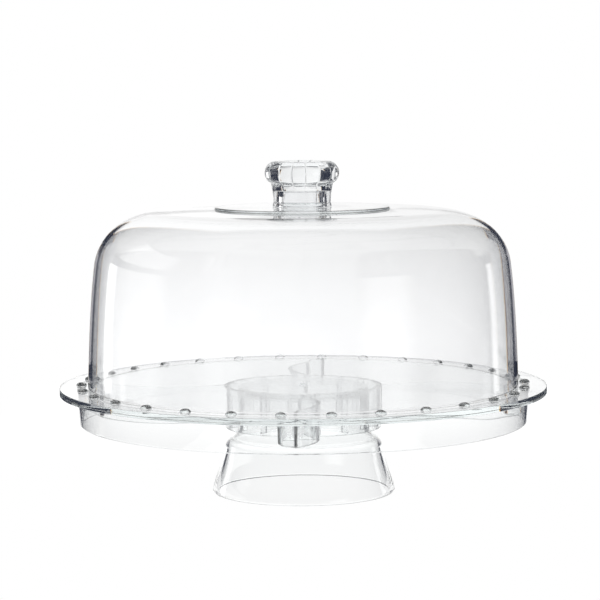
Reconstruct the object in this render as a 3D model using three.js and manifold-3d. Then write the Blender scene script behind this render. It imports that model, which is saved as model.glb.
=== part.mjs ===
// Cake stand with a dome lid, all in clear moulded acrylic.
// Four separate pieces stand on one vertical axis: a flared pedestal, a round serving tray that
// drops over the pedestal's plug, a dome lid that rests on the tray, and the knob bonded to the dome.
// Millimetres, +Z up, origin at the centre of the pedestal's foot, on the table. -Y is the front.

import * as THREE from 'three';
import { mergeVertices } from 'three/addons/utils/BufferGeometryUtils.js';
import Module from 'manifold-3d';

const wasm = await Module();
wasm.setup();

// Driving dimensions: overall
const TRAY_TOP = 69.3;          // height of the serving surface above the table
const TRAY_RADIUS = 156;        // outer edge of the tray
const DOME_RADIUS = 137.9;      // outside of the dome at its rim
const PLUG_RADIUS = 42.3;       // pedestal plug that locates the tray
const REST_GAP = 0.3;           // clearance drawn between pieces that rest on each other
const BOND_GAP = 0.1;           // adhesive film between knob and dome

// Driving dimensions: tray
const PLATE_THICKNESS = 4.3;
const SKIRT_RADIUS = 144.5;       // outside of the skirt where it leaves the plate
const SKIRT_DRAFT = 1.1;        // how much the skirt narrows towards its lower edge
const SKIRT_WALL = 2.2;
const SKIRT_BOTTOM = 46.1;
const RING_RADIUS = 50.2;       // outside of the socket ring
const RING_WALL = 2.4;
const RING_BOTTOM = 43.1;
const RIB_COUNT = 16;
const RIB_WIDTH = 1.6;
const RIB_TIP_RADIUS = PLUG_RADIUS + 0.4;
const BEAD_COUNT = 30;
const BEAD_CIRCLE = 142.4;
const BEAD_RADIUS = 3.4;
const BEAD_HEIGHT = 2.1;
const DIVIDER_COUNT = 4;
const DIVIDER_WALL = 2.2;

// Driving dimensions: dome and knob
const DOME_WALL = 2.5;
const DISC_RADIUS = 56;         // raised flat seat on the crown of the dome
const DISC_STEP = 1.5;
const CROWN_HEIGHT = 112.4;     // crown beside the disc, above the dome's rim
const KNOB_FLUTES = 16;
const BOSS_RADIUS = 12.8;        // low boss on the seat that centres the knob
const BOSS_HEIGHT = 2.8;
const KNOB_HOLLOW_RADIUS = 13.2;
const KNOB_HOLLOW_HEIGHT = 10.8;

// Driving dimensions: pedestal
const PEDESTAL_WALL = 3;
const WAIST_RADIUS = 51.1;      // outside, where the flare ends and the shoulder starts to round
const WAIST_HEIGHT = 31;
const SHOULDER_ROUNDING = 8.2;

const PLATE_UNDERSIDE = TRAY_TOP - PLATE_THICKNESS;
const PLUG_TOP = PLATE_UNDERSIDE - REST_GAP;
const DOME_BASE = TRAY_TOP + REST_GAP;
const DISC_TOP = DOME_BASE + CROWN_HEIGHT + DISC_STEP;

// Sides of each turned shape
const TRAY_SIDES = 60;
const DOME_SIDES = 56;
const PEDESTAL_SIDES = 40;
const BEAD_SIDES = 8;
const KNOB_SIDES = KNOB_FLUTES * 4;

const point = (r, z) => new THREE.Vector2(r, z);

// Points along a list of curves, without the doubled points where two of them meet.
function trace(...pieces) {
  const points = pieces.flatMap(([curve, steps]) => curve.getPoints(steps));
  return points.filter((p, i) => i === 0 || p.distanceTo(points[i - 1]) > 1e-4);
}

const line = (a, b) => [new THREE.LineCurve(a, b), 1];
const bend = (a, control, b, steps) => [new THREE.QuadraticBezierCurve(a, control, b), steps];
const sweep = (a, c1, c2, b, steps) => [new THREE.CubicBezierCurve(a, c1, c2, b), steps];

function arc(centreR, centreZ, radius, fromDegrees, toDegrees, steps) {
  const from = THREE.MathUtils.degToRad(fromDegrees);
  const to = THREE.MathUtils.degToRad(toDegrees);
  return [new THREE.EllipseCurve(centreR, centreZ, radius, radius, from, to, to < from), steps];
}

// The same outline moved sideways by the wall thickness, towards the right of its direction of travel.
function offsetOutline(points, distance) {
  return points.map((p, i) => {
    const before = points[Math.max(i - 1, 0)];
    const after = points[Math.min(i + 1, points.length - 1)];
    const incoming = (i === 0 ? after.clone().sub(p) : p.clone().sub(before)).normalize();
    const outgoing = (i === points.length - 1 ? p.clone().sub(before) : after.clone().sub(p)).normalize();
    const along = incoming.clone().add(outgoing).normalize();
    const mitre = distance / along.dot(incoming);
    return point(p.x + along.y * mitre, p.y - along.x * mitre);
  });
}

// Turns an (r, z) outline about the Z axis. The outline keeps the material on its left.
function turn(outline, segments) {
  const geometry = new THREE.LatheGeometry(outline, segments);
  geometry.rotateX(Math.PI / 2);
  return geometry;
}

function closed(geometry) {
  const bare = geometry.index ? geometry.toNonIndexed() : geometry.clone();
  bare.deleteAttribute('normal');
  bare.deleteAttribute('uv');
  return mergeVertices(bare, 1e-4);
}

function toSolid(geometry) {
  const merged = closed(geometry);
  return new wasm.Manifold(new wasm.Mesh({
    numProp: 3,
    vertProperties: new Float32Array(merged.attributes.position.array),
    triVerts: new Uint32Array(merged.index.array),
  }));
}

function toGeometry(solid) {
  const mesh = solid.getMesh();
  const geometry = new THREE.BufferGeometry();
  geometry.setAttribute('position', new THREE.BufferAttribute(new Float32Array(mesh.vertProperties), 3));
  geometry.setIndex(new THREE.BufferAttribute(new Uint32Array(mesh.triVerts), 1));
  return geometry;
}

function clearAcrylic(color) {
  return new THREE.MeshStandardMaterial({
    color,
    roughness: 0.05,
    metalness: 0,
    transparent: true,
    opacity: 0.35,
  });
}

function piece(name, geometry, color) {
  const mesh = new THREE.Mesh(geometry, clearAcrylic(color));
  mesh.name = name;
  return mesh;
}

// Pedestal: one wall, open at the flared foot and closed by the plug on top, so that turned over it
// is a bowl. The tray's plate rests on the plug. The wall is a little thinner at the foot.
function pedestalBowl() {
  const centre = WAIST_RADIUS - SHOULDER_ROUNDING;
  const lean = THREE.MathUtils.degToRad(60);
  const roundEnd = point(
    centre + SHOULDER_ROUNDING * Math.cos(lean),
    WAIST_HEIGHT + SHOULDER_ROUNDING * Math.sin(lean),
  );
  const plugFoot = point(PLUG_RADIUS - 0.1, 45.5);
  const shoulder = trace(
    arc(centre, WAIST_HEIGHT, SHOULDER_ROUNDING, 0, 60, 4),
    sweep(roundEnd, point(43.9, 39.9), point(PLUG_RADIUS - 0.1, 41.5), plugFoot, 4),
  );
  const outside = [
    ...trace(sweep(point(58.6, 1.2), point(57.6, 8), point(52.6, 17), shoulder[0], 7)),
    ...shoulder.slice(1),
    point(PLUG_RADIUS - 0.5, PLUG_TOP - 1.2),
    point(PLUG_RADIUS - 1.7, PLUG_TOP),
  ];
  const shoulderInside = offsetOutline(shoulder, -PEDESTAL_WALL);
  const inside = [
    ...trace(sweep(point(55.6, 0), point(54.6, 8), point(49.6, 17), shoulderInside[0], 7)),
    ...shoulderInside.slice(1),
    point(PLUG_RADIUS - PEDESTAL_WALL - 0.5, PLUG_TOP - PEDESTAL_WALL),
  ];
  return turn([
    point(0, PLUG_TOP - PEDESTAL_WALL),
    ...inside.reverse(),
    point(57.4, 0),
    ...outside,
    point(0, PLUG_TOP),
  ], PEDESTAL_SIDES);
}

// Tray: plate, skirt and socket ring are one turned outline.
function trayBody() {
  const skirtFoot = SKIRT_RADIUS - SKIRT_DRAFT;
  const ringInner = RING_RADIUS - RING_WALL;
  const edge = 0.3;
  return turn([
    point(0, PLATE_UNDERSIDE),
    point(ringInner, PLATE_UNDERSIDE),
    point(ringInner, RING_BOTTOM),
    point(RING_RADIUS, RING_BOTTOM),
    point(RING_RADIUS, PLATE_UNDERSIDE),
    point(SKIRT_RADIUS - SKIRT_WALL, PLATE_UNDERSIDE),
    point(skirtFoot - SKIRT_WALL, SKIRT_BOTTOM),
    point(skirtFoot, SKIRT_BOTTOM),
    point(SKIRT_RADIUS, PLATE_UNDERSIDE),
    point(TRAY_RADIUS - edge, PLATE_UNDERSIDE),
    point(TRAY_RADIUS, PLATE_UNDERSIDE + edge),
    point(TRAY_RADIUS, TRAY_TOP - edge),
    point(TRAY_RADIUS - edge, TRAY_TOP),
    point(0, TRAY_TOP),
  ], TRAY_SIDES);
}

// Low round bead, sunk 1 mm into the plate.
function bead(angle) {
  const outline = [
    point(0, -1),
    point(BEAD_RADIUS, -1),
    ...trace(bend(point(BEAD_RADIUS, 0), point(BEAD_RADIUS * 0.6, BEAD_HEIGHT), point(0, BEAD_HEIGHT), 3)),
  ];
  const geometry = turn(outline, BEAD_SIDES);
  geometry.translate(0, -BEAD_CIRCLE, TRAY_TOP);
  geometry.rotateZ(angle);
  return geometry;
}

// Upright rib inside the socket ring. Its tip steadies the pedestal's plug.
function socketRib(angle) {
  const root = RING_RADIUS - RING_WALL / 2;
  const length = root - RIB_TIP_RADIUS;
  const bottom = RING_BOTTOM + 1;
  const top = PLATE_UNDERSIDE + 1;
  const geometry = new THREE.BoxGeometry(RIB_WIDTH, length, top - bottom);
  geometry.translate(0, -(RIB_TIP_RADIUS + length / 2), (top + bottom) / 2);
  geometry.rotateZ(angle);
  return geometry;
}

// S-shaped wall from the socket ring to the skirt. The four part the upturned tray into compartments.
function divider(angle) {
  const belly = point(112, -1.5);
  const jog = point(128, -6.2);
  const middle = trace(
    sweep(point(RING_RADIUS - 1.2, -3), point(78, 14), point(98, 9), belly, 7),
    sweep(belly, point(117.5, -5.6), point(123, -5.2), jog, 4),
    sweep(jog, point(132.5, -7.1), point(133, -15.2), point(SKIRT_RADIUS - 2.2, -15.6), 6),
  );
  const left = offsetOutline(middle, -DIVIDER_WALL / 2);
  const right = offsetOutline(middle, DIVIDER_WALL / 2).reverse();
  const top = PLATE_UNDERSIDE + 1;
  const geometry = new THREE.ExtrudeGeometry(new THREE.Shape([...left, ...right]), {
    depth: top - SKIRT_BOTTOM,
    bevelEnabled: false,
  });
  geometry.translate(0, 0, SKIRT_BOTTOM);
  geometry.rotateZ(angle - Math.PI / 2);
  return geometry;
}

// Cuts the free edges of the dividers back in a shallow curve, so that they meet the skirt inside its edge.
function dividerNotch() {
  return turn([
    point(112, SKIRT_BOTTOM - 1),
    point(148, SKIRT_BOTTOM - 1),
    point(148, SKIRT_BOTTOM + 7.5),
    point(142, SKIRT_BOTTOM + 5.7),
    point(130, SKIRT_BOTTOM + 2.3),
    point(112, SKIRT_BOTTOM),
    point(112, SKIRT_BOTTOM - 1),
  ], TRAY_SIDES);
}

function gateNub() {
  const geometry = new THREE.CylinderGeometry(2, 2.4, 1.4, 12);
  geometry.rotateX(Math.PI / 2);
  geometry.translate(0, 0, TRAY_TOP - 0.2);
  return geometry;
}

function around(count, make, firstStep = 0) {
  const step = 2 * Math.PI / count;
  return Array.from({ length: count }, (_, i) => make((i + firstStep) * step));
}

function servingTray() {
  const added = [
    ...around(BEAD_COUNT, bead, 0.5),
    ...around(RIB_COUNT, socketRib, 0.5),
    gateNub(),
  ];
  const notch = toSolid(dividerNotch());
  const dividers = around(DIVIDER_COUNT, divider).map((geometry) => toSolid(geometry).subtract(notch));
  const solids = [...dividers, ...added.map(toSolid)];
  return toGeometry(solids.reduce((tray, solid) => tray.add(solid), toSolid(trayBody())));
}

// Dome: bowed side, wide shoulder and a low crown that steps up to a flat round seat with a boss.
function domeShell() {
  const rim = point(DOME_RADIUS, DOME_BASE + 0.7);
  const sideTop = point(133, DOME_BASE + 78);
  const shoulderTop = point(88, DOME_BASE + 111.6);
  const crown = point(DISC_RADIUS, DOME_BASE + CROWN_HEIGHT);
  const outside = trace(
    bend(rim, point(136.6, DOME_BASE + 50), sideTop, 4),
    sweep(sideTop, point(130.7, DOME_BASE + 97), point(113, DOME_BASE + 111), shoulderTop, 8),
    line(shoulderTop, crown),
  );
  const inside = offsetOutline(outside, -DOME_WALL).reverse();
  inside[inside.length - 1] = point(DOME_RADIUS - DOME_WALL, DOME_BASE);
  const innerCrown = point(0, inside[0].y);
  return turn([
    innerCrown,
    ...inside,
    point(DOME_RADIUS - 0.7, DOME_BASE),
    ...outside,
    point(DISC_RADIUS, DISC_TOP - 0.4),
    point(DISC_RADIUS - 0.4, DISC_TOP),
    point(BOSS_RADIUS, DISC_TOP),
    point(BOSS_RADIUS, DISC_TOP + BOSS_HEIGHT),
    point(0, DISC_TOP + BOSS_HEIGHT),
  ], DOME_SIDES);
}

// Knob: a short stem and a rounded head with shallow flutes all round, hollow from below.
function domeKnob() {
  const base = DISC_TOP + BOND_GAP;
  const hollowTop = base + KNOB_HOLLOW_HEIGHT;
  const outline = [
    point(0, hollowTop),
    point(KNOB_HOLLOW_RADIUS - 0.3, hollowTop),
    point(KNOB_HOLLOW_RADIUS, base),
    point(18.9, base),
    point(18.9, base + 0.9),
    ...trace(
      bend(point(18.3, base + 2.6), point(18.4, base + 8), point(19.8, base + 14.6), 2),
      arc(16.2, base + 21.4, 7.7, -62, 68, 8),
    ),
    point(11, base + 28.4),
    point(0, base + 27.4),
  ];
  const geometry = turn(outline, KNOB_SIDES);
  const position = geometry.attributes.position;
  for (let i = 0; i < position.count; i += 1) {
    const x = position.getX(i);
    const y = position.getY(i);
    const height = position.getZ(i) - base;
    const radius = Math.hypot(x, y);
    if (radius > KNOB_HOLLOW_RADIUS + 3) {
      const onHead = THREE.MathUtils.smoothstep(height, 9, 18);
      const depth = THREE.MathUtils.lerp(0.3, 0.6, onHead);
      const valley = (1 + Math.cos(KNOB_FLUTES * Math.atan2(x, -y))) / 2;
      const scale = 1 - depth * valley / radius;
      position.setXY(i, x * scale, y * scale);
    }
  }
  geometry.rotateZ(THREE.MathUtils.degToRad(5.5));
  return geometry;
}

const stand = new THREE.Group();
stand.add(piece('pedestal_bowl', pedestalBowl(), 0xe9edf0));
stand.add(piece('serving_tray', servingTray(), 0xe3eaee));
stand.add(piece('dome_shell', domeShell(), 0xeceff2));
stand.add(piece('dome_knob', domeKnob(), 0xdfe4e8));

export default stand;
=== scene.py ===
import math

import bmesh
import bpy
from mathutils import Matrix, Vector


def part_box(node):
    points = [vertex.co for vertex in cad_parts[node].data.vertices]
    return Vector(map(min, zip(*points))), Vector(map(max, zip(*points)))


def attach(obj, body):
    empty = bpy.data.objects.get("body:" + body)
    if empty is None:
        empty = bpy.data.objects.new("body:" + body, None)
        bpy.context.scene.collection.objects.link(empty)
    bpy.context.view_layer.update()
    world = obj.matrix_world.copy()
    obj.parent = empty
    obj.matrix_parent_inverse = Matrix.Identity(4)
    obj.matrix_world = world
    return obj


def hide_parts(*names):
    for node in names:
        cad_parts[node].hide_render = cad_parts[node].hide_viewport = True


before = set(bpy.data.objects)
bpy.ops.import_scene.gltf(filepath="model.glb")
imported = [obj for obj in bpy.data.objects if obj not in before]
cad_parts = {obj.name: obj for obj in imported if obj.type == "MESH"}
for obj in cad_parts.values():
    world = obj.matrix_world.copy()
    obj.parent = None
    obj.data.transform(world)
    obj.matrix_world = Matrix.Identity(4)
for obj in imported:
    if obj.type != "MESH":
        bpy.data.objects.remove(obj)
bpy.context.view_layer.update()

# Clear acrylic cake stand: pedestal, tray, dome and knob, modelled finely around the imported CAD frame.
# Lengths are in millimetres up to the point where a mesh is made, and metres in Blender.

MM = 0.001


def top_of(node):
    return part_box(node)[1].z / MM


def bottom_of(node):
    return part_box(node)[0].z / MM


def radius_of(node):
    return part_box(node)[1].x / MM


# Heights and radii taken from the frame, and the gaps that the CAD leaves between its pieces
RESTING_GAP = 0.3
BOND_GAP = 0.1
TRAY_RADIUS = radius_of("serving_tray")
RING_BOTTOM = bottom_of("serving_tray")
DOME_BASE = bottom_of("dome_shell")
TRAY_TOP = DOME_BASE - RESTING_GAP
KNOB_BASE = bottom_of("dome_knob")
DISC_TOP = KNOB_BASE - BOND_GAP
PLUG_TOP = top_of("pedestal_bowl")

# Dimensions that the frame's boxes don't show, as in the CAD
PLATE_THICKNESS = 4.3
PLATE_UNDERSIDE = TRAY_TOP - PLATE_THICKNESS
SKIRT_RADIUS = 144.5
SKIRT_DRAFT = 1.1
SKIRT_WALL = 2.2
SKIRT_BOTTOM = RING_BOTTOM + 3.0
RING_RADIUS = 50.2
RING_WALL = 2.4
RIB_COUNT = 16
DIVIDER_COUNT = 4
PLUG_RADIUS = 42.3
PLUG_FOOT = 45.5
PEDESTAL_WALL = 3.0
WAIST_RADIUS = 51.1
WAIST_HEIGHT = 31.0
SHOULDER_ROUNDING = 8.2
RIB_TIP_RADIUS = PLUG_RADIUS + 0.4
RIB_WIDTH = 1.6
BEAD_COUNT = 30
BEAD_CIRCLE = 142.4
BEAD_RADIUS = 3.4
BEAD_HEIGHT = 2.1
DOME_RADIUS = 137.9
DOME_WALL = 2.5
DISC_RADIUS = 56.0
DISC_STEP = 1.5
BOSS_RADIUS = 12.8
BOSS_HEIGHT = 2.8
KNOB_FLUTES = 16
KNOB_HOLLOW_RADIUS = 13.2
KNOB_HOLLOW_HEIGHT = 10.8
KNOB_FOOT_RADIUS = 18.9
KNOB_STEM_RADIUS = 18.3
KNOB_STEM_FOOT = 2.6
KNOB_HEAD_CENTRE = (16.2, 21.4)
KNOB_HEAD_ROUNDING = 7.7
KNOB_TURN = math.radians(5.5)

# Heights at which the rounding of the foot ends, outside and inside
FOOT_OUTSIDE_END = 2.2
FOOT_INSIDE_END = 0.6

# How finely the turned pieces are divided round the axis
FINE_SIDES = 288
PEDESTAL_SIDES = 192
SMALL_SIDES = 32

# Acrylic: its index of refraction, the colour it takes on along a path inside it, and how fast per metre
ACRYLIC_IOR = 1.49
TINT = (0.945, 0.962, 0.962)
TINT_DENSITY = 10.0

# Surface of the acrylic: the wave left by the mould, and the roughness of its haze and its scratches
MOULD_WAVE = 0.02
MOULD_WAVE_SCALE = 9.0
HAZE = 0.012
HAZE_SCALE = 26
TRAY_SCRATCHES = 0.05
SCRATCH_SCALE = 700

# Camera, fitted to the ellipses of the tray, dome and foot
CAMERA_DISTANCE = 1.5135
CAMERA_HEIGHT = 0.2695
CAMERA_AZIMUTH = math.radians(-0.64)
CAMERA_PITCH = math.radians(5.514)
CAMERA_YAW = math.radians(0.0645)
CAMERA_ROLL = math.radians(-0.364)
CAMERA_LENS = 142.3

# Studio, in metres. The camera looks along +Y over a white table top. The white cards behind the stand
# are hidden from the camera itself, and show only in and through the acrylic.
FLOOR_HALF_WIDTH = 0.235
FLOOR_FRONT = -0.6
FLOOR_LIGHT = (1.0, 1.17)
BACKDROP_DISTANCE = 0.52
# Half-width, foot, top and relative brightness of the white cards behind the stand
BACKDROP_CARDS = [
    (0.235, 0, 0.165, 1.0),
    (0.2, 0.165, 0.27, 1.0),
    (0.29, 0.27, 1.0, 0.88),
]
BACKDROP_LIGHT = (1.17, 0.98)
# Change of the cards' brightness per metre from left to right
BACKDROP_LEAN = -0.43
DISPERSION = 0.006
CARD_EDGE = 0.003
WING_OUTER = 0.34
WING_LIGHT = 0.42
WING_COLOUR = (0.98, 0.97, 1.04)
# Brightness of the ceiling above the cards, and straight overhead
OVERHEAD_LIGHT = (0.15, 0.4)
ROOM_COLOUR = (0.035, 0.04, 0.06)
# Soft lights round the room: azimuth from +X, half-width and softness in degrees, brightness, and
# the sines of their lowest and highest elevation.
PANELS = [
    (165, 23, 7.0, 0.85, -0.12, 0.13),
    (165, 23, 7.0, 0.85, 0.26, 0.6),
    (142, 5, 1.0, 1.8, -0.12, 0.13),
    (33, 3, 1.0, 1.4, -0.12, 0.13),
    (-45, 13, 8.0, 1.0, -0.45, 0.2),
    (135, 11, 2.5, 1.0, -0.6, -0.2),
]


# ---------------------------------------------------------------- outlines

def bezier(points, steps):
    """A Bezier curve of any order through de Casteljau's construction."""
    curve = []
    for i in range(steps + 1):
        t = i / steps
        level = [Vector(p) for p in points]
        while len(level) > 1:
            level = [a.lerp(b, t) for a, b in zip(level, level[1:])]
        curve.append(level[0])
    return curve


def arc(centre_r, centre_z, radius, from_degrees, to_degrees, steps):
    points = []
    for i in range(steps + 1):
        a = math.radians(from_degrees + (to_degrees - from_degrees) * i / steps)
        points.append(Vector((centre_r + radius * math.cos(a), centre_z + radius * math.sin(a))))
    return points


def offset_outline(points, distance):
    """The outline moved sideways, to the left of its direction of travel, with mitred corners."""
    moved = []
    for i, p in enumerate(points):
        before = points[max(i - 1, 0)]
        after = points[min(i + 1, len(points) - 1)]
        incoming = ((p - before) if i else (after - p)).normalized()
        outgoing = ((after - p) if i < len(points) - 1 else (p - before)).normalized()
        along = (incoming + outgoing).normalized()
        mitre = distance / along.dot(incoming)
        moved.append(Vector((p.x - along.y * mitre, p.y + along.x * mitre)))
    return moved


def rounded(corners, steps=5):
    """Points of an outline whose corners, given as (r, z, radius), are rounded by that radius."""
    points = []
    for i, (r, z, radius) in enumerate(corners):
        here = Vector((r, z))
        if not radius:
            points.append(here)
            continue
        before = (Vector(corners[i - 1][:2]) - here).normalized()
        after = (Vector(corners[(i + 1) % len(corners)][:2]) - here).normalized()
        half_angle = before.angle(after) / 2
        tangent = radius / math.tan(half_angle)
        centre = here + (before + after).normalized() * (radius / math.sin(half_angle))
        start = here + before * tangent - centre
        sweep = start.angle_signed(here + after * tangent - centre)
        for k in range(steps + 1):
            turn = Matrix.Rotation(-sweep * k / steps, 2)
            points.append(centre + turn @ start)
    return points


def as_corners(points):
    return [(p.x, p.y, 0) for p in points]


# ---------------------------------------------------------------- meshes

def mesh_object(name, bm):
    mesh = bpy.data.meshes.new(name)
    bm.to_mesh(mesh)
    bm.free()
    piece = bpy.data.objects.new(name, mesh)
    bpy.context.scene.collection.objects.link(piece)
    return piece


def even_angles(count):
    return [2 * math.pi * k / count for k in range(count)]


def turned(outline, angles, shape=None):
    """Turns an (r, z) outline in mm about the Z axis. It starts and ends on the axis, or closes on itself."""
    bm = bmesh.new()
    closed = outline[0].x > 1e-6
    rings = []
    for p in outline:
        if p.x < 1e-6:
            rings.append([bm.verts.new((0, 0, p.y * MM))])
            continue
        ring = []
        for angle in angles:
            r = p.x if shape is None else shape(p, angle)
            place = (r * math.sin(angle) * MM, -r * math.cos(angle) * MM, p.y * MM)
            ring.append(bm.verts.new(place))
        rings.append(ring)
    pairs = list(zip(rings, rings[1:]))
    if closed:
        pairs.append((rings[-1], rings[0]))
    for lower, upper in pairs:
        for k in range(len(angles)):
            n = (k + 1) % len(angles)
            if len(lower) == 1:
                bm.faces.new((lower[0], upper[n], upper[k]))
            elif len(upper) == 1:
                bm.faces.new((lower[k], lower[n], upper[0]))
            else:
                bm.faces.new((lower[k], lower[n], upper[n], upper[k]))
    bmesh.ops.recalc_face_normals(bm, faces=bm.faces)
    return bm


def join_into(target, source):
    """Copies the faces of bmesh source into bmesh target, and frees source."""
    copies = {v: target.verts.new(v.co) for v in source.verts}
    for face in source.faces:
        target.faces.new([copies[v] for v in face.verts])
    source.free()


def apply_modifiers(piece):
    evaluated = piece.evaluated_get(bpy.context.evaluated_depsgraph_get())
    mesh = bpy.data.meshes.new_from_object(evaluated)
    piece.modifiers.clear()
    piece.data = mesh


def union(piece, other):
    """Joins another closed piece into this one, and removes it."""
    modifier = piece.modifiers.new("union", "BOOLEAN")
    modifier.operation = "UNION"
    modifier.solver = "EXACT"
    modifier.object = other
    apply_modifiers(piece)
    bpy.data.objects.remove(other)


def finish_shading(piece, sharp_degrees=32):
    """Smooth shading with true edges kept sharp, and normals that lie flat on flat faces."""
    mesh = piece.data
    mesh.shade_smooth()
    mesh.set_sharp_from_angle(angle=math.radians(sharp_degrees))
    weighted = piece.modifiers.new("weighted", "WEIGHTED_NORMAL")
    weighted.keep_sharp = True
    weighted.weight = 80
    apply_modifiers(piece)


# ---------------------------------------------------------------- pieces

def make_pedestal():
    """A wall flared at the open foot, rounded in at the shoulder, up to the plug that carries the tray."""
    centre = WAIST_RADIUS - SHOULDER_ROUNDING
    waist_inside = (WAIST_RADIUS - PEDESTAL_WALL, WAIST_HEIGHT)
    flare = bezier([(58.6, FOOT_OUTSIDE_END), (57.6, 8), (52.6, 17), (WAIST_RADIUS, WAIST_HEIGHT)], 30)
    flare_inside = bezier([(55.6, FOOT_INSIDE_END), (54.6, 8), (49.6, 17), waist_inside], 30)
    shoulder = arc(centre, WAIST_HEIGHT, SHOULDER_ROUNDING, 0, 60, 12)
    plug_side = PLUG_RADIUS - 0.1
    shoulder_end = tuple(shoulder[-1])
    shoulder += bezier([shoulder_end, (43.9, 39.9), (plug_side, 41.5), (plug_side, PLUG_FOOT)], 12)[1:]
    outside = rounded(
        as_corners(flare + shoulder[1:])
        + [(PLUG_RADIUS - 0.5, PLUG_TOP, 1.4), (0, PLUG_TOP, 0)]
    )
    inner_top = PLUG_TOP - PEDESTAL_WALL
    inside = rounded(
        as_corners(flare_inside + offset_outline(shoulder, PEDESTAL_WALL)[1:])
        + [(PLUG_RADIUS - PEDESTAL_WALL - 0.5, inner_top, 3.0), (0, inner_top, 0)]
    )
    inside.reverse()
    foot = rounded(
        [
            (55.6, FOOT_INSIDE_END, 0),
            (55.7, 0, 0.4),
            (58.9, 0, 1.5),
            (58.6, FOOT_OUTSIDE_END, 0),
        ]
    )[1:-1]
    return mesh_object("acrylic_pedestal", turned(inside + foot + outside, even_angles(PEDESTAL_SIDES)))


def make_tray_body():
    skirt_foot = SKIRT_RADIUS - SKIRT_DRAFT
    ring_inner = RING_RADIUS - RING_WALL
    outline = rounded(
        [
            (0, PLATE_UNDERSIDE, 0),
            (ring_inner, PLATE_UNDERSIDE, 0.4),
            (ring_inner, RING_BOTTOM, 0.7),
            (RING_RADIUS - 0.2, RING_BOTTOM, 0.7),
            (RING_RADIUS, PLATE_UNDERSIDE, 0.5),
            (SKIRT_RADIUS - SKIRT_WALL, PLATE_UNDERSIDE, 0.6),
            (skirt_foot - SKIRT_WALL + 0.3, SKIRT_BOTTOM, 0.8),
            (skirt_foot, SKIRT_BOTTOM, 0.9),
            (SKIRT_RADIUS, PLATE_UNDERSIDE, 0.5),
            (TRAY_RADIUS, PLATE_UNDERSIDE, 0.3),
            (TRAY_RADIUS, TRAY_TOP, 0.3),
            (0, TRAY_TOP, 0),
        ]
    )
    return mesh_object("acrylic_tray", turned(outline, even_angles(FINE_SIDES)))


def make_beads():
    """The ring of low round beads near the edge, joined as one object."""
    profile = [Vector((0, -1)), Vector((BEAD_RADIUS, -1))]
    for p in arc(0, 0, 1, 0, 90, 10):
        profile.append(Vector((BEAD_RADIUS * p.x, BEAD_HEIGHT * p.y)))
    profile[-1].x = 0
    everything = bmesh.new()
    for i in range(BEAD_COUNT):
        bead = turned(profile, even_angles(SMALL_SIDES))
        angle = 2 * math.pi * (i + 0.5) / BEAD_COUNT
        place = Matrix.Rotation(angle, 4, "Z") @ Matrix.Translation((0, -BEAD_CIRCLE * MM, TRAY_TOP * MM))
        bmesh.ops.transform(bead, matrix=place, verts=bead.verts)
        join_into(everything, bead)
    return mesh_object("beads", everything)


def swept_wall(path, half_root, half_tip, z_root, tip_height):
    """A wall that hangs along a path in the XY plane, thinner and rounded at its tip."""
    bm = bmesh.new()
    rounding = 6
    rows = []
    for i, p in enumerate(path):
        ahead = path[min(i + 1, len(path) - 1)] - path[max(i - 1, 0)]
        side = Vector((-ahead.y, ahead.x)).normalized()
        z_tip = tip_height(p.length)
        section = [(half_root, z_root)]
        for k in range(rounding + 1):
            a = math.pi * k / rounding
            section.append((half_tip * math.cos(a), z_tip + half_tip * (1 - math.sin(a))))
        section.append((-half_root, z_root))
        rows.append([
            bm.verts.new(((p.x + side.x * s) * MM, (p.y + side.y * s) * MM, z * MM))
            for s, z in section
        ])
    width = len(rows[0])
    for row, following in zip(rows, rows[1:]):
        for k in range(width):
            n = (k + 1) % width
            bm.faces.new((row[k], row[n], following[n], following[k]))
    bm.faces.new(rows[0])
    bm.faces.new(rows[-1])
    bmesh.ops.recalc_face_normals(bm, faces=bm.faces)
    return bm


def make_dividers():
    """Four S-shaped walls from the socket ring to the skirt, and the ribs inside the ring."""
    everything = bmesh.new()
    root = PLATE_UNDERSIDE + 1
    belly, jog, end = (112, -1.5), (128, -6.2), (SKIRT_RADIUS - 2.1, -15.6)
    s_curve = bezier([(RING_RADIUS - 1.2, -3), (78, 14), (98, 9), belly], 24)
    s_curve += bezier([belly, (117.5, -5.6), (123, -5.2), jog], 10)[1:]
    s_curve += bezier([jog, (132.5, -7.1), (133, -15.2), end], 20)[1:]

    def free_edge(radius):
        """Level with the skirt's edge, but curving up before it meets the skirt."""
        return SKIRT_BOTTOM + 0.4 + 5.4 * max(0, (radius - belly[0]) / 29) ** 2

    def rib_edge(radius):
        return RING_BOTTOM + 1

    for i in range(DIVIDER_COUNT):
        wall = swept_wall(s_curve, 1.25, 1.0, root, free_edge)
        turn = Matrix.Rotation(2 * math.pi * i / DIVIDER_COUNT, 4, "Z")
        bmesh.ops.transform(wall, matrix=turn, verts=wall.verts)
        join_into(everything, wall)
    rib_path = [Vector((RIB_TIP_RADIUS, 0)), Vector((RING_RADIUS - RING_WALL / 2, 0))]
    for i in range(RIB_COUNT):
        rib = swept_wall(rib_path, RIB_WIDTH / 2, RIB_WIDTH / 2 - 0.1, root, rib_edge)
        turn = Matrix.Rotation(2 * math.pi * (i + 0.5) / RIB_COUNT, 4, "Z")
        bmesh.ops.transform(rib, matrix=turn, verts=rib.verts)
        join_into(everything, rib)
    return mesh_object("dividers", everything)


def make_gate_nub():
    """The small round mark that the moulding gate leaves in the middle of the plate."""
    top = TRAY_TOP + 0.5
    outline = rounded([(0, top - 1.5, 0), (2.4, top - 1.5, 0), (2.0, top, 0.3), (0, top, 0)])
    return mesh_object("gate_nub", turned(outline, even_angles(SMALL_SIDES)))


def make_tray():
    tray = make_tray_body()
    union(tray, make_dividers())
    union(tray, make_beads())
    union(tray, make_gate_nub())
    return tray


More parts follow.
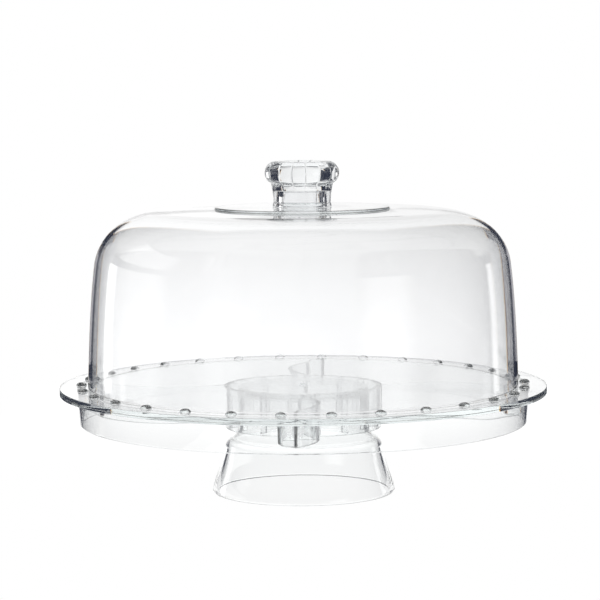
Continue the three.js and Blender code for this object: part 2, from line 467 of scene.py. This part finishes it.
def make_dome():
    """Bowed side, wide shoulder and a low crown that steps up to a flat round seat."""
    side_top = (133, DOME_BASE + 78)
    shoulder_top = (88, DOME_BASE + 111.6)
    crown = (DISC_RADIUS, DISC_TOP - DISC_STEP)
    side = bezier([(DOME_RADIUS, DOME_BASE + 0.6), (136.6, DOME_BASE + 50), side_top], 24)
    shoulder = bezier([side_top, (130.7, DOME_BASE + 97), (113, DOME_BASE + 111), shoulder_top], 40)[1:]
    roof = bezier([shoulder_top, (72, DOME_BASE + 112.2), crown], 8)[1:]
    skin = side + shoulder + roof
    outside = rounded(
        as_corners(skin[:-1])
        + [
            (DISC_RADIUS, crown[1], 0.5),
            (DISC_RADIUS, DISC_TOP, 0.9),
            (BOSS_RADIUS, DISC_TOP, 0),
            (BOSS_RADIUS, DISC_TOP + BOSS_HEIGHT, 0.4),
            (0, DISC_TOP + BOSS_HEIGHT, 0),
        ]
    )
    inside = offset_outline(skin, DOME_WALL)
    inside.append(Vector((0, inside[-1].y)))
    inside.reverse()
    rim = rounded(
        [
            (DOME_RADIUS - DOME_WALL, DOME_BASE + 3, 0),
            (DOME_RADIUS - DOME_WALL, DOME_BASE, 0.5),
            (DOME_RADIUS, DOME_BASE, 0.5),
            (DOME_RADIUS, DOME_BASE + 3, 0),
        ]
    )[1:-1]
    return mesh_object("acrylic_dome", turned(inside[:-1] + rim + outside[1:], even_angles(FINE_SIDES)))


def make_knob():
    """A stem and a rounded head with flutes that meet in valleys, hollow from below."""
    base = KNOB_BASE
    hollow_top = base + KNOB_HOLLOW_HEIGHT
    head_r, head_z = KNOB_HEAD_CENTRE
    head = arc(head_r, base + head_z, KNOB_HEAD_ROUNDING, -62, 68, 26)
    stem_foot = (KNOB_STEM_RADIUS, base + KNOB_STEM_FOOT)
    stem = bezier([stem_foot, (18.4, base + 8), tuple(head[0])], 14)[:-1]
    hollow = rounded(
        [
            (0, hollow_top, 0),
            (KNOB_HOLLOW_RADIUS - 0.3, hollow_top, 0.6),
            (KNOB_HOLLOW_RADIUS, base, 0),
            (KNOB_FOOT_RADIUS, base, 0.4),
            (KNOB_FOOT_RADIUS, base + 0.9, 0.4),
            (*stem_foot, 0),
        ]
    )[:-1]
    dish_edge = (11.5, base + 28.7)
    dish = bezier([tuple(head[-1]), (16.5, base + 29.3), dish_edge], 6)[1:]
    dish += bezier([dish_edge, (8, base + 27.3), (0, base + 27.3)], 10)[1:]

    def fluted(p, angle):
        """Nearly flat lobes with a narrow groove between them, deeper on the head than on the stem."""
        in_hollow = p.x < KNOB_HOLLOW_RADIUS + 0.5 and p.y < hollow_top + 1
        if in_hollow or p.x < 10:
            return p.x
        rise = min(max((p.y - base - 11) / 5, 0), 1)
        rise *= rise * (3 - 2 * rise)
        fade = min(1, max(0, (p.x - 11) / 5))
        across = math.sin(KNOB_FLUTES / 2 * (angle - KNOB_TURN))
        lobe = (0.1 + 0.15 * rise) * (1 - abs(across))
        groove = (0.06 + 0.9 * rise) * max(0, 1 - abs(across) / 0.2)
        return p.x - fade * (lobe + groove)

    # The points crowd together in the grooves
    angles = []
    points_per_flute = 24
    crowding = 0.75
    for k in range(KNOB_FLUTES):
        for j in range(points_per_flute):
            t = j / points_per_flute
            crowded = t - crowding * math.sin(2 * math.pi * t) / (2 * math.pi)
            angles.append(KNOB_TURN + 2 * math.pi * (k + crowded) / KNOB_FLUTES)
    return mesh_object("acrylic_knob", turned(hollow + stem + head + dish, angles, fluted))


# ---------------------------------------------------------------- materials

def acrylic(name, colour, scratches=0.0):
    """Clear moulded acrylic: gently wavy from the mould, with faint uneven haze and fine scratches.
    It takes on a grey-green tint where light travels a long way inside it."""
    material = bpy.data.materials.new(name)
    material.use_nodes = True
    nodes, links = material.node_tree.nodes, material.node_tree.links
    shader = nodes["Principled BSDF"]
    shader.inputs["Base Color"].default_value = (*colour, 1)
    shader.inputs["Transmission Weight"].default_value = 1
    shader.inputs["IOR"].default_value = ACRYLIC_IOR
    shader.inputs["Metallic"].default_value = 0

    tint = nodes.new("ShaderNodeVolumeAbsorption")
    tint.inputs["Color"].default_value = (*TINT, 1)
    tint.inputs["Density"].default_value = TINT_DENSITY
    links.new(tint.outputs["Volume"], nodes["Material Output"].inputs["Volume"])

    place = nodes.new("ShaderNodeTexCoord")
    flow = nodes.new("ShaderNodeTexNoise")
    flow.inputs["Scale"].default_value = MOULD_WAVE_SCALE
    flow.inputs["Detail"].default_value = 1.5
    links.new(place.outputs["Object"], flow.inputs["Vector"])

    bump = nodes.new("ShaderNodeBump")
    bump.inputs["Strength"].default_value = MOULD_WAVE
    bump.inputs["Distance"].default_value = 0.01
    links.new(flow.outputs["Fac"], bump.inputs["Height"])
    links.new(bump.outputs["Normal"], shader.inputs["Normal"])

    handled = nodes.new("ShaderNodeTexNoise")
    handled.inputs["Scale"].default_value = HAZE_SCALE
    handled.inputs["Detail"].default_value = 4
    links.new(place.outputs["Object"], handled.inputs["Vector"])
    spread = nodes.new("ShaderNodeMapRange")
    spread.inputs["From Min"].default_value = 0.4
    spread.inputs["From Max"].default_value = 0.75
    spread.inputs["To Min"].default_value = 0.0
    spread.inputs["To Max"].default_value = HAZE
    links.new(handled.outputs["Fac"], spread.inputs["Value"])
    rough = spread.outputs["Result"]
    if scratches:
        grain = nodes.new("ShaderNodeTexNoise")
        grain.inputs["Scale"].default_value = SCRATCH_SCALE
        grain.inputs["Detail"].default_value = 2
        links.new(place.outputs["Object"], grain.inputs["Vector"])
        lines = nodes.new("ShaderNodeMapRange")
        lines.inputs["From Min"].default_value = 0.62
        lines.inputs["From Max"].default_value = 0.7
        lines.inputs["To Max"].default_value = scratches
        links.new(grain.outputs["Fac"], lines.inputs["Value"])
        total = nodes.new("ShaderNodeMath")
        total.operation = "ADD"
        links.new(rough, total.inputs[0])
        links.new(lines.outputs["Result"], total.inputs[1])
        rough = total.outputs["Value"]
    links.new(rough, shader.inputs["Roughness"])
    return material


def dress(piece, material, body, node):
    piece.data.materials.clear()
    piece.data.materials.append(material)
    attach(piece, body)
    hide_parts(node)


# ---------------------------------------------------------------- studio

def node_value(tree, operation, *values, clamp=False):
    """Adds a math node on numbers or sockets, and returns its result."""
    node = tree.nodes.new("ShaderNodeMath")
    node.operation = operation
    node.use_clamp = clamp
    for socket, value in zip(node.inputs, values):
        if isinstance(value, (int, float)):
            socket.default_value = value
        else:
            tree.links.new(value, socket)
    return node.outputs["Value"]


def ramp(tree, value, start, end, low=0.0, high=1.0):
    """A smooth change from low to high as value goes from start to end."""
    node = tree.nodes.new("ShaderNodeMapRange")
    node.interpolation_type = "SMOOTHSTEP"
    if start > end:
        start, end, low, high = end, start, high, low
    node.inputs["From Min"].default_value = start
    node.inputs["From Max"].default_value = end
    node.inputs["To Min"].default_value = low
    node.inputs["To Max"].default_value = high
    tree.links.new(value, node.inputs["Value"])
    return node.outputs["Result"]


def bright_card(name, corners):
    """A flat four-cornered sheet of light, and the parts of its material that its look is wired to."""
    bm = bmesh.new()
    bm.faces.new([bm.verts.new(corner) for corner in corners])
    card = mesh_object(name, bm)
    material = bpy.data.materials.new(name)
    material.use_nodes = True
    tree = material.node_tree
    tree.nodes.clear()
    output = tree.nodes.new("ShaderNodeOutputMaterial")
    glow = tree.nodes.new("ShaderNodeEmission")
    tree.links.new(glow.outputs["Emission"], output.inputs["Surface"])
    place = tree.nodes.new("ShaderNodeTexCoord")
    split = tree.nodes.new("ShaderNodeSeparateXYZ")
    tree.links.new(place.outputs["Object"], split.inputs["Vector"])
    card.data.materials.append(material)
    return card, tree, glow, split.outputs


def make_floor():
    """The white table top under the stand, brighter towards the backdrop."""
    half = FLOOR_HALF_WIDTH
    corners = [
        (-half, FLOOR_FRONT, 0),
        (half, FLOOR_FRONT, 0),
        (half, BACKDROP_DISTANCE, 0),
        (-half, BACKDROP_DISTANCE, 0),
    ]
    floor, tree, glow, axes = bright_card("studio_floor", corners)
    floor.location.z = -0.0002
    tree.links.new(ramp(tree, axes["Y"], 0.1, 0.5, *FLOOR_LIGHT), glow.inputs["Strength"])


def make_backdrop_card(name, half_width, foot, top, brightness):
    """An upright white card behind the stand. Each colour sees its edges slightly displaced, which
    stands in for the dispersion of the acrylic."""
    half = half_width * (1 + 4 * DISPERSION)
    y = BACKDROP_DISTANCE
    corners = [(-half, y, foot), (half, y, foot), (half, y, top), (-half, y, top)]
    card, tree, glow, axes = bright_card(name, corners)
    card.visible_camera = False
    level = ramp(tree, axes["Z"], 0.03, 0.15, *BACKDROP_LIGHT)
    level = node_value(tree, "MULTIPLY_ADD", axes["X"], BACKDROP_LEAN, level)
    level = node_value(tree, "MULTIPLY", level, brightness)
    tree.links.new(level, glow.inputs["Strength"])
    aside = node_value(tree, "ABSOLUTE", axes["X"])
    colour = tree.nodes.new("ShaderNodeCombineColor")
    for channel, shift in (("Red", DISPERSION), ("Green", 0), ("Blue", -DISPERSION)):
        edge = half_width * (1 + shift)
        tree.links.new(ramp(tree, aside, edge + CARD_EDGE, edge - CARD_EDGE), colour.inputs[channel])
    tree.links.new(colour.outputs["Color"], glow.inputs["Color"])


def make_wing(name, side):
    """A dim card beside the backdrop, which greys the edge of the dome."""
    y = BACKDROP_DISTANCE + 0.001
    half_width, _, top, _ = BACKDROP_CARDS[0]
    foot = 0.02
    inner, outer = side * half_width, side * WING_OUTER
    corners = [(inner, y, foot), (outer, y, foot), (outer, y, top), (inner, y, top)]
    card, _, glow, _ = bright_card(name, corners)
    card.visible_camera = False
    glow.inputs["Strength"].default_value = WING_LIGHT
    glow.inputs["Color"].default_value = (*WING_COLOUR, 1)


def make_world():
    """A dark room with soft lights round it and overhead."""
    world = bpy.data.worlds.new("studio")
    bpy.context.scene.world = world
    world.use_nodes = True
    tree = world.node_tree
    tree.nodes.clear()
    output = tree.nodes.new("ShaderNodeOutputWorld")
    background = tree.nodes.new("ShaderNodeBackground")
    tree.links.new(background.outputs["Background"], output.inputs["Surface"])

    place = tree.nodes.new("ShaderNodeTexCoord")
    split = tree.nodes.new("ShaderNodeSeparateXYZ")
    tree.links.new(place.outputs["Generated"], split.inputs["Vector"])
    x, y, z = split.outputs["X"], split.outputs["Y"], split.outputs["Z"]
    azimuth = node_value(tree, "ARCTAN2", y, x)
    ceiling = ramp(tree, z, 0.24, 0.4, 0.0, OVERHEAD_LIGHT[0])
    total = node_value(tree, "MAXIMUM", ceiling, ramp(tree, z, 0.7, 0.95, 0.0, OVERHEAD_LIGHT[1]))
    for centre, half_width, softness, brightness, lowest, highest in PANELS:
        away = node_value(tree, "SUBTRACT", azimuth, math.radians(centre))
        away = node_value(tree, "WRAP", away, math.pi, -math.pi)
        away = node_value(tree, "ABSOLUTE", away)
        inner, outer = math.radians(half_width - softness), math.radians(half_width + softness)
        panel = ramp(tree, away, outer, inner, 0.0, brightness)
        panel = node_value(tree, "MULTIPLY", panel, ramp(tree, z, highest + 0.01, highest - 0.01))
        panel = node_value(tree, "MULTIPLY", panel, ramp(tree, z, lowest - 0.01, lowest + 0.01))
        total = node_value(tree, "MAXIMUM", total, panel)

    colour = tree.nodes.new("ShaderNodeCombineColor")
    for channel, dark in zip(("Red", "Green", "Blue"), ROOM_COLOUR):
        tree.links.new(node_value(tree, "MAXIMUM", total, dark), colour.inputs[channel])

    rays = tree.nodes.new("ShaderNodeLightPath")
    mix = tree.nodes.new("ShaderNodeMix")
    mix.data_type = "RGBA"
    factor, room_side, camera_side, mixed = mix.inputs[0], mix.inputs[6], mix.inputs[7], mix.outputs[2]
    tree.links.new(rays.outputs["Is Camera Ray"], factor)
    tree.links.new(colour.outputs["Color"], room_side)
    camera_side.default_value = (1, 1, 1, 1)
    tree.links.new(mixed, background.inputs["Color"])


def make_camera():
    data = bpy.data.cameras.new("camera")
    data.sensor_width = 36
    data.lens = CAMERA_LENS
    camera = bpy.data.objects.new("camera", data)
    bpy.context.scene.collection.objects.link(camera)
    place = Vector((
        CAMERA_DISTANCE * math.sin(CAMERA_AZIMUTH),
        -CAMERA_DISTANCE * math.cos(CAMERA_AZIMUTH),
        CAMERA_HEIGHT,
    ))
    turn = (
        Matrix.Rotation(CAMERA_AZIMUTH + CAMERA_YAW, 4, "Z")
        @ Matrix.Rotation(math.pi / 2 - CAMERA_PITCH, 4, "X")
        @ Matrix.Rotation(CAMERA_ROLL, 4, "Z")
    )
    camera.matrix_world = Matrix.Translation(place) @ turn
    bpy.context.scene.camera = camera


def set_scene():
    scene = bpy.context.scene
    scene.view_settings.view_transform = "Standard"
    scene.cycles.max_bounces = 96
    scene.cycles.transmission_bounces = 96
    scene.cycles.glossy_bounces = 24
    scene.cycles.caustics_reflective = True
    scene.cycles.caustics_refractive = True
    scene.cycles.blur_glossy = 0


make_camera()
make_floor()
for number, card_values in enumerate(BACKDROP_CARDS):
    make_backdrop_card("studio_card_%d" % number, *card_values)
make_wing("studio_wing_left", -1)
make_wing("studio_wing_right", 1)
make_world()
set_scene()

pedestal = make_pedestal()
tray = make_tray()
dome = make_dome()
knob = make_knob()
for piece in (pedestal, tray, dome, knob):
    finish_shading(piece)

pedestal_acrylic = acrylic("acrylic_pedestal", (0.99, 0.995, 0.995))
tray_acrylic = acrylic("acrylic_tray", (0.985, 0.992, 0.992), scratches=TRAY_SCRATCHES)
dome_acrylic = acrylic("acrylic_dome", (0.99, 0.992, 0.995))
knob_acrylic = acrylic("acrylic_knob", (0.985, 0.99, 0.995))
dress(pedestal, pedestal_acrylic, "pedestal", "pedestal_bowl")
dress(tray, tray_acrylic, "tray", "serving_tray")
dress(dome, dome_acrylic, "dome", "dome_shell")
dress(knob, knob_acrylic, "dome", "dome_knob")
